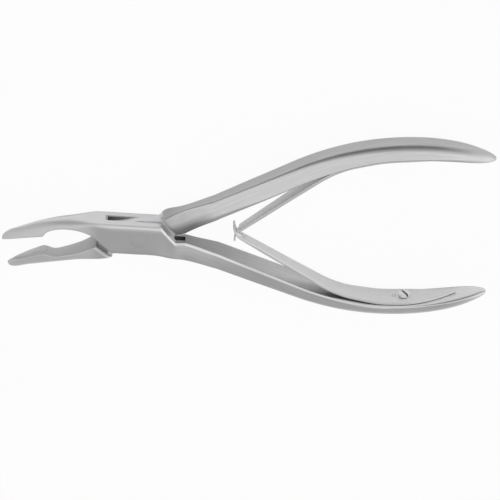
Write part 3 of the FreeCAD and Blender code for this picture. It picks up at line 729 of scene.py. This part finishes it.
def turned(vector, angle):
    """The vector turned by an angle, or by each of an array of angles."""
    c, s = np.cos(angle), np.sin(angle)
    return np.stack([vector[0] * c - vector[1] * s, vector[0] * s + vector[1] * c], -1)


def leaf_path(side):
    """Middle line of a leaf and its normals: curl, straight blade, soft bend, seat."""
    rise = SEAT_GAP + LEAF / 2
    meet = MEET * np.array([math.cos(math.radians(OPEN / 2)), math.sin(math.radians(OPEN / 2))])
    spot, along, normal = (a[0] for a in seat_at(np.array([SEAT]), side))
    seat = spot + normal * (rise + LIFT)
    knee = seat - along * SOFT_BEND
    blade = (knee - meet) / np.linalg.norm(knee - meet)
    for _ in range(30):
        middle = turned(blade, -CURL_TURN / 2)
        centre = meet + CURL * np.array([-middle[1], middle[0]])
        start = centre - CURL * np.array([-blade[1], blade[0]])
        blade = (knee - start) / np.linalg.norm(knee - start)
    angles = np.linspace(-CURL_TURN, 0, 26)
    curl_dir = turned(blade, angles)
    curl = centre - CURL * np.stack([-curl_dir[:, 1], curl_dir[:, 0]], -1)
    t = np.linspace(1, 0, 8, endpoint=False)[:, None]
    tail = curl[0] - curl_dir[0] * CURL_TAIL * t
    end = knee - blade * SOFT_BEND
    s = np.linspace(0, 1, 60)[1:, None]
    straight = start + (end - start) * s
    s = np.linspace(0, 1, 24)[1:, None]
    first, second = end + (knee - end) * s, knee + (seat - knee) * s
    bend = first + (second - first) * s
    bend_dir = (second - first) / np.linalg.norm(second - first, axis=1)[:, None]
    x = spaced(SEAT, LEAF_END, 70, at_end=True)[1:]
    spots, ways, normals = seat_at(x, side)
    lift = LIFT * smooth(share_of(x, SEAT + LIFT_FADE, SEAT))
    points = np.concatenate([tail, curl, straight, bend, spots + normals * (rise + lift[:, None])])
    ways = np.concatenate([np.repeat(curl_dir[:1], len(tail), 0), curl_dir,
                           np.repeat(blade[None], len(straight), 0), bend_dir, ways])
    return points, np.stack([-ways[:, 1], ways[:, 0]], -1)


# %% Skin of a leaf
def leaf_width(x, tongue, inside):
    """Half width: narrow at the tip, a flare to the seat, then a lancet arch."""
    half = through([0.0, 34.0, 47.0, 57.0, 66.0, 74.0, LANCET, 100.0],
                   [2.25, 2.25, 2.7, 3.3, 3.65, 4.1, 4.2, 4.2], x)
    half = half * (1 - share_of(x, LANCET, LEAF_END) ** 1.9)
    if tongue:
        half = TONGUE_HALF + (half - TONGUE_HALF) * smooth(share_of(inside, 0.6, 1.2))
    return np.maximum(half, 0.02)


def leaf_mesh(name, side):
    """Rounded rectangle carried along the leaf's path. The map's way round is measured on one ring
    of the seat."""
    points, normals = leaf_path(side)
    turn = math.radians(OPEN / 2)
    past_meet = points[:, 0] * math.cos(turn) + points[:, 1] * math.sin(turn) - MEET
    half = leaf_width(points[:, 0], side < 0, past_meet)
    thick = LEAF / 2 * (0.6 + 0.4 * share_of(past_meet, -1.0, 8.0))
    ease = np.minimum(0.2, half * 0.8)
    a = np.linspace(0, np.pi / 2, 5)
    quarter = np.concatenate([a, a + np.pi / 2, a + np.pi, a + 1.5 * np.pi])
    sx = np.repeat([1, -1, -1, 1], 5)
    sy = np.repeat([1, 1, -1, -1], 5)
    across = sx * (half - ease)[:, None] + np.cos(quarter) * ease[:, None]
    depth = sy * (thick - ease)[:, None] + np.sin(quarter) * ease[:, None]
    flat = points[:, None] + normals[:, None] * depth[:, :, None]
    rings = np.dstack([flat, across])
    along = np.concatenate([[0], np.cumsum(np.hypot(*np.diff(points, axis=0).T))]) / 10
    around = np.concatenate([[0], np.cumsum(np.linalg.norm(np.diff(
        rings[SEAT_RING], axis=0, append=rings[SEAT_RING, :1]), axis=1))]) / 10
    return outward(ring_mesh(name, into_frame(rings, side), along, around))


def seat_matrix(x, side):
    """Placement on the handle's inner face in the frame: Z off the face, X along the handle."""
    spot, along, normal = (a[0] for a in seat_at(np.array([x]), side))
    turn = math.radians(-side * OPEN / 2)
    rot = np.array([[math.cos(turn), -math.sin(turn)], [math.sin(turn), math.cos(turn)]])
    flip = np.array([1.0, side])
    p, u, n = rot @ (spot * flip), rot @ (along * flip), rot @ (normal * flip)
    u, n = Vector((*u, 0)), Vector((*n, 0))
    v = n.cross(u)
    return Matrix(((u.x, v.x, n.x, p[0]), (u.y, v.y, n.y, p[1]), (u.z, v.z, n.z, HALF_BOX),
                   (0, 0, 0, 1)))


# %% Both leaves, with their holes
SCREW_AT, PEG_AT = 83.5, 80.3
leaves = {}
for side, name in ((1, "lower_spring"), (-1, "upper_spring")):
    mesh = leaf_mesh(name + "_leaf", side)
    if side > 0:
        eye = prism(rectangle(5, 1.8), EYE_HALF, 1, 0.5)
        shift = Vector((MEET, 0, HALF_BOX)) * MM
        eye.transform(Matrix.Translation(shift) @ Matrix.Rotation(math.radians(OPEN / 2), 4, "Z")
                      @ Matrix.Translation((0, 0, -HALF_BOX * MM)))
        mesh = boolean(mesh, eye, "DIFFERENCE")
    for spot, radius in ((SCREW_AT, 1.25), (PEG_AT, 0.65)):
        drill = placed(spun("drill", [(radius, -1.0), (radius, 3.0)], 40), seat_matrix(spot, side))
        mesh = boolean(mesh, outward(drill), "DIFFERENCE")
    leaves[side] = finish_mesh(name + "_leaf", mesh)
    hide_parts(name)

# %% [markdown]
# ## Screws and locating pins
#
# A cheese-head screw clamps each leaf. Beside it a small pin, whose end shows as a dot, keeps the
# leaf from turning. Both stand square on the handle's inner face.

# %% Screws and locating pins
HEAD_RADIUS, HEAD_HIGH, SHANK_RADIUS, SHANK_LONG = 1.9, 1.25, 1.1, 2.6
DRIVER_WIDE, DRIVER_DEEP, DRIVER_TURN = 0.72, 0.75, 62.0
PEG_RADIUS, PEG_LONG = 0.5, 1.6
seat = LEAF + 2 * SEAT_GAP
for side, name in ((1, "lower"), (-1, "upper")):
    profile = np.concatenate([
        [[1e-4, -SHANK_LONG], [SHANK_RADIUS, -SHANK_LONG], [SHANK_RADIUS, seat]],
        rounded_profile(HEAD_RADIUS, seat, seat + HEAD_HIGH, 0.3)[1:]])
    head = outward(spun("head", profile))
    turn = math.radians(-side * DRIVER_TURN)
    slot = prism(rectangle(6, DRIVER_WIDE / 2), DRIVER_DEEP, 1)
    slot.transform(Matrix.Scale(1 / MM, 4) @ Matrix.Rotation(math.radians(OPEN / 2), 4, "Z"))
    slot.transform(Matrix.Translation((0, 0, seat + HEAD_HIGH)) @ Matrix.Rotation(turn, 4, "Z")
                   @ Matrix.Translation((0, 0, -HALF_BOX)))
    screw = finish_mesh(name + "_screw", placed(boolean(head, slot, "DIFFERENCE"),
                                                seat_matrix(SCREW_AT, side)))
    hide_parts(name + "_spring_screw")
    peg = spun("peg", rounded_profile(PEG_RADIUS, -PEG_LONG, seat - 0.02, 0.12))
    peg_piece = finish_mesh(name + "_peg", placed(peg, seat_matrix(PEG_AT, side)))
    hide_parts(name + "_locating_pin")
    body = "box_half" if side > 0 else "tenon_half"
    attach(screw, body)
    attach(peg_piece, body)

# %% Riding on the CAD bodies
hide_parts("box_half")
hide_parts("tenon_half")
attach(box_piece, "box_half")
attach(pin_piece, "box_half")
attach(tenon_piece, "tenon_half")
for side in (1, -1):
    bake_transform(leaves[side])

# %% [markdown]
# ## Shader maths as plain expressions
#
# A finish is a formula: base grey plus a little grain. The small class below wraps a socket so that
# an expression such as 0.3 + 0.1 * grain adds the Math nodes by itself.


# %% Socket wrapper
class Signal:
    """A shader value that can be added to, multiplied and so on."""

    def __init__(self, tree, socket):
        self.tree, self.socket = tree, socket

    def math(self, operation, left, right):
        node = self.tree.nodes.new("ShaderNodeMath")
        node.operation = operation
        for slot, value in zip(node.inputs, (left, right)):
            if isinstance(value, Signal):
                self.tree.links.new(value.socket, slot)
            else:
                slot.default_value = value
        return Signal(self.tree, node.outputs[0])

    def __add__(self, other):
        return self.math("ADD", self, other)

    def __radd__(self, other):
        return self.math("ADD", other, self)

    def __sub__(self, other):
        return self.math("SUBTRACT", self, other)

    def __rsub__(self, other):
        return self.math("SUBTRACT", other, self)

    def __mul__(self, other):
        return self.math("MULTIPLY", self, other)

    def __rmul__(self, other):
        return self.math("MULTIPLY", other, self)


class Graph:
    """A node tree: makes nodes from a type, settings and socket values."""

    def __init__(self, tree):
        self.tree = tree
        tree.nodes.clear()

    def node(self, kind, settings=None, **sockets):
        node = self.tree.nodes.new(kind)
        for key, value in (settings or {}).items():
            setattr(node, key, value)
        for key, value in sockets.items():
            slot = node.inputs[key.replace("_", " ")]
            if isinstance(value, Signal):
                self.tree.links.new(value.socket, slot)
            else:
                slot.default_value = value
        return node

    def value(self, node, output=0):
        return Signal(self.tree, node.outputs[output])

    def ramp(self, value, start, end):
        """0 up to start, 1 from end on, a smooth step between."""
        step = self.node("ShaderNodeMapRange", {"interpolation_type": "SMOOTHSTEP"},
                         Value=value, From_Min=start, From_Max=end)
        return self.value(step)

    def output(self, shader, kind):
        """Ends the tree: the shader goes into an output node of this kind."""
        self.tree.links.new(shader.outputs[0], self.node(kind).inputs["Surface"])


class Finish(Graph):
    """The node tree of one material."""

    def __init__(self, name):
        self.material = bpy.data.materials.new(name)
        self.material.use_nodes = True
        super().__init__(self.material.node_tree)

    def made(self, shader):
        self.output(shader, "ShaderNodeOutputMaterial")
        return self.material


def dress(piece, material):
    """Gives the piece this material and no other."""
    piece.data.materials.clear()
    piece.data.materials.append(material)


# %% [markdown]
# ## Satin steel
#
# The handles are brushed to a satin grey, and the jaws and the box are blasted, so that neither
# dazzles the surgeon. Under a lens the brushing is a grain of fine lengthwise scratches on top of a
# soft cloudiness from the polishing wheel. The grain follows the UV map, which runs along the steel.
# It moves the roughness and the grey a little and gives a very shallow bump.
#
# The map's second coordinate tells the sides of a forging apart: 0 to 1 and 2 to 3 are the flanks, 1 to
# 2 the rim and the outside of the handle, 3 to 4 the back of the jaw and the inside of the handle, 5 a
# milled face and 6 the inside of a slot or hole. Places along the tool are in metres here. By these
# bands and places the grey also carries painted highlights and painted shade.


# %% Steel
# The middle value is the pale grey of the painted highlight on the top edges and top faces of the matte
# steel.
BOX_GREY, PAINTED_LIGHT_GREY, MATTE_GRAIN = 0.57, 0.9, 0.03
BRUSHED_FROM, BOX_FROM = (0.009, 0.016), (-0.016, -0.011)
OBJECT_PLACE = 3


def steel(name, grey, rough, grain_scale, grain_depth, cloud, matte=None, shade=None):
    """Metal whose grey and roughness carry a lengthwise grain and a slow cloudiness, with a painted
    shade that halves the grey inside slots and holes. matte is the grey and roughness of the
    blast-finished end of a forging, up to the neck of its handle; there the flanks' top edges, the back
    of the jaw, the top of the box and the milled faces get a painted highlight. Along the inside of the
    handle the grey is painted darker near the box and lighter towards the palm. shade is how much
    painted highlight or painted shade the neck's inner edge gets, where along the tool that starts and
    fades, and how far it reaches across the flank. Where it is painted shade, the painted highlight on
    the top edge ends before it."""
    make = Finish(name)
    uv = make.value(make.node("ShaderNodeUVMap", {"uv_map": "grain"}))
    stretched = make.value(make.node("ShaderNodeMapping", Vector=uv, Scale=(0.2, grain_scale, 1.0)))
    grain = make.value(make.node("ShaderNodeTexNoise", {"noise_dimensions": "2D"}, Vector=stretched,
                                 Scale=4.0, Detail=4.0, Roughness=0.6))
    spot = make.value(make.node("ShaderNodeTexCoord"), OBJECT_PLACE)
    soft = make.value(make.node("ShaderNodeTexNoise", {"noise_dimensions": "3D"}, Vector=spot,
                                Scale=140.0, Detail=2.0, Roughness=0.5))
    band = make.value(make.node("ShaderNodeSeparateXYZ", Vector=uv), 1)
    hollow = make.ramp(band, 5.4, 5.6)
    base, dull, depth = grey, rough, grain_depth
    if matte:
        matte_grey, matte_rough = matte
        amount, start, fade, near = shade
        reach = make.value(make.node("ShaderNodeSeparateXYZ", Vector=spot))
        bright = make.ramp(reach, *BRUSHED_FROM)
        box = make.ramp(reach, *BOX_FROM)
        # Painted highlight: on the matte end the flanks' top edges, the back of the jaw, the top of the
        # box and the milled faces are lightened towards the pale highlight grey.
        lift = 1 - make.ramp(band, 0.1, 0.33) + make.ramp(band, 2.96, 3.0) * (1 - hollow)
        # On a half whose neck gets painted shade, this painted highlight stops where that shade starts.
        if amount < 0:
            lift = lift * (1 - make.ramp(reach, *start))
        plain = matte_grey - (matte_grey - BOX_GREY) * box
        blasted_with_painted_highlight = plain + (PAINTED_LIGHT_GREY - plain) * lift
        # Painted shade and painted light: along the inside of the handle the grey is darker near the box
        # and lighter towards the palm.
        inside = make.ramp(band, 2.98, 3.02) * (1 - make.ramp(band, 4.4, 4.6))
        painted_inner_shading = make.ramp(reach, 0.018, 0.048) * 0.54 + make.ramp(reach, 0.070, 0.092) * 0.12 - 0.28
        brushed_with_painted_shading = grey + grey * (inside * painted_inner_shading)
        # Painted highlight or painted shade along the neck's inner edge on both flanks: lighter on the
        # box half, darker on the tenon half.
        neck = make.ramp(reach, *start) * (1 - make.ramp(reach, *fade))
        painted_far_neck_edge = make.ramp(band, 3 - near[1], 3 - near[0]) * (1 - make.ramp(band, 2.98, 3.02))
        painted_neck_edge = 1 - make.ramp(band, *near) + painted_far_neck_edge
        base = (blasted_with_painted_highlight + (brushed_with_painted_shading - blasted_with_painted_highlight) * bright) * (1 + neck * painted_neck_edge * amount)
        dull = matte_rough + (rough - matte_rough) * bright
        depth = MATTE_GRAIN + (grain_depth - MATTE_GRAIN) * bright
    # Painted shade: the inside of every slot and hole is half as grey.
    base = base * (1 - hollow * 0.5)
    tone = base * ((1 - cloud * 0.5) + cloud * soft + depth * (grain - 0.5))
    colour = make.value(make.node("ShaderNodeCombineColor", Red=tone, Green=tone, Blue=tone * 1.008))
    worn = dull - 0.06 + 0.07 * grain + 0.05 * soft
    bump = make.value(make.node("ShaderNodeBump", Strength=0.06, Distance=0.0001, Height=grain))
    shader = make.node("ShaderNodeBsdfPrincipled", Base_Color=colour, Metallic=1.0,
                       Roughness=worn, Normal=bump)
    return make.made(shader)


FORGED = (0.63, 0.32, 3.4, 0.34, 0.06, (0.72, 0.54))
# The two forged steels differ at the neck: the box half gets a painted highlight at the root of its
# handle, the tenon half a painted shade on the neck of its handle.
box_steel = steel("forged_steel", *FORGED, (0.4, (0.010, 0.014), (0.016, 0.036), (0.1, 0.9)))
tenon_steel = steel("forged_steel_painted_neck_shade", *FORGED,
                    (-0.58, (0.006, 0.010), (0.015, 0.027), (0.34, 0.6)))
spring_steel = steel("spring_steel", 0.82, 0.34, 5.0, 0.16, 0.04)
pin_steel = steel("pin_steel", BOX_GREY, 0.54, 3.0, 0.02, 0.04)
turned_steel = steel("turned_steel", 0.9, 0.26, 3.0, 0.06, 0.04)
for piece, material in ((box_piece, box_steel), (tenon_piece, tenon_steel), (pin_piece, pin_steel),
                        (leaves[1], spring_steel), (leaves[-1], spring_steel)):
    dress(piece, material)
for name in ("lower_screw", "upper_screw", "lower_peg", "upper_peg"):
    dress(bpy.data.objects[name], turned_steel)
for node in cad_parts.values():
    dress(node, box_steel)

# %% [markdown]
# ## Floor and light
#
# Metal shows the room more than itself. The side of the box looks straight up, the inside of the
# handles looks at the far wall and the rounded edges look at all that lies between. So the room is
# drawn by direction: a grey dome, a dark band low on the far side that gives the ridge its dark line,
# a bright wall at the handle end and a fainter one at the jaw end. Two soft boxes overhead add the
# pale streaks. The floor looks nearly white to the camera but keeps a faint shadow.

# %% Floor
FLOOR_HALF, FLOOR_GAP = 3.0, 0.00002
CAMERA_RAY, GLOSSY_RAY, THROUGH_RAY = 0, 3, 6
ground = cad_low.z - FLOOR_GAP
floor_mesh = bpy.data.meshes.new("floor")
floor_mesh.from_pydata([(x, y, ground) for x, y in rectangle(FLOOR_HALF, FLOOR_HALF)], [],
                       [(0, 1, 2, 3)])
floor = bpy.data.objects.new("floor", floor_mesh)
bpy.context.scene.collection.objects.link(floor)
make = Finish("floor_white")
path = make.node("ShaderNodeLightPath")
seen = (make.value(path, CAMERA_RAY) * 0.94 + make.value(path, GLOSSY_RAY) * 0.2
        + make.value(path, THROUGH_RAY) * 0.2)
shaded = make.node("ShaderNodeBsdfDiffuse", Color=(0.9, 0.9, 0.9, 1.0))
glow = make.node("ShaderNodeEmission", Color=(1.0, 1.0, 1.0, 1.0), Strength=1.0)
mixed = make.node("ShaderNodeMixShader", Fac=seen)
for place, shader in ((1, shaded), (2, glow)):
    make.tree.links.new(shader.outputs[0], mixed.inputs[place])
floor_mesh.materials.append(make.made(mixed))


# %% Lamps
def soft_box(name, centre, look, size, radiance):
    """Area lamp that faces a point. Its power follows from the radiance it adds to the room."""
    data = bpy.data.lights.new(name, "AREA")
    data.shape = "RECTANGLE"
    data.size, data.size_y = size
    data.energy = 4 * radiance * size[0] * size[1]
    lamp = bpy.data.objects.new(name, data)
    bpy.context.scene.collection.objects.link(lamp)
    lamp.location = centre
    lamp.rotation_euler = (Vector(look) - Vector(centre)).to_track_quat("-Z", "Y").to_euler()


HERE = (0.03, 0.0, 0.0)
soft_box("far_box", (0.03, 0.5, 1.1), HERE, (1.8, 0.75), 0.35)
soft_box("high_box", (0.03, 0.05, 1.5), HERE, (1.8, 0.5), 0.3)

# %% Room
world = bpy.data.worlds.new("studio")
bpy.context.scene.world = world
world.use_nodes = True
sky = Graph(world.node_tree)
split = sky.node("ShaderNodeSeparateXYZ", Vector=sky.value(sky.node("ShaderNodeTexCoord")))
ray_x, ray_y, ray_z = (sky.value(split, i) for i in range(3))
far = sky.ramp(ray_y, 0.55, 0.8) * (1 - sky.ramp(ray_z, 0.30, 0.60))
handle_end = sky.ramp(ray_x, 0.25, 0.8)
jaw_end = sky.ramp(ray_x * -1.0, 0.3, 0.8)
around = 0.5 + handle_end * 0.65 + jaw_end * 0.2 - far * 0.43
seen_by = sky.value(sky.node("ShaderNodeLightPath"), CAMERA_RAY)
strength = around + seen_by * (1.0 - around)
sky.output(sky.node("ShaderNodeBackground", Color=(1.0, 1.0, 1.0, 1.0), Strength=strength),
           "ShaderNodeOutputWorld")

bpy.context.scene.view_settings.view_transform = "Standard"
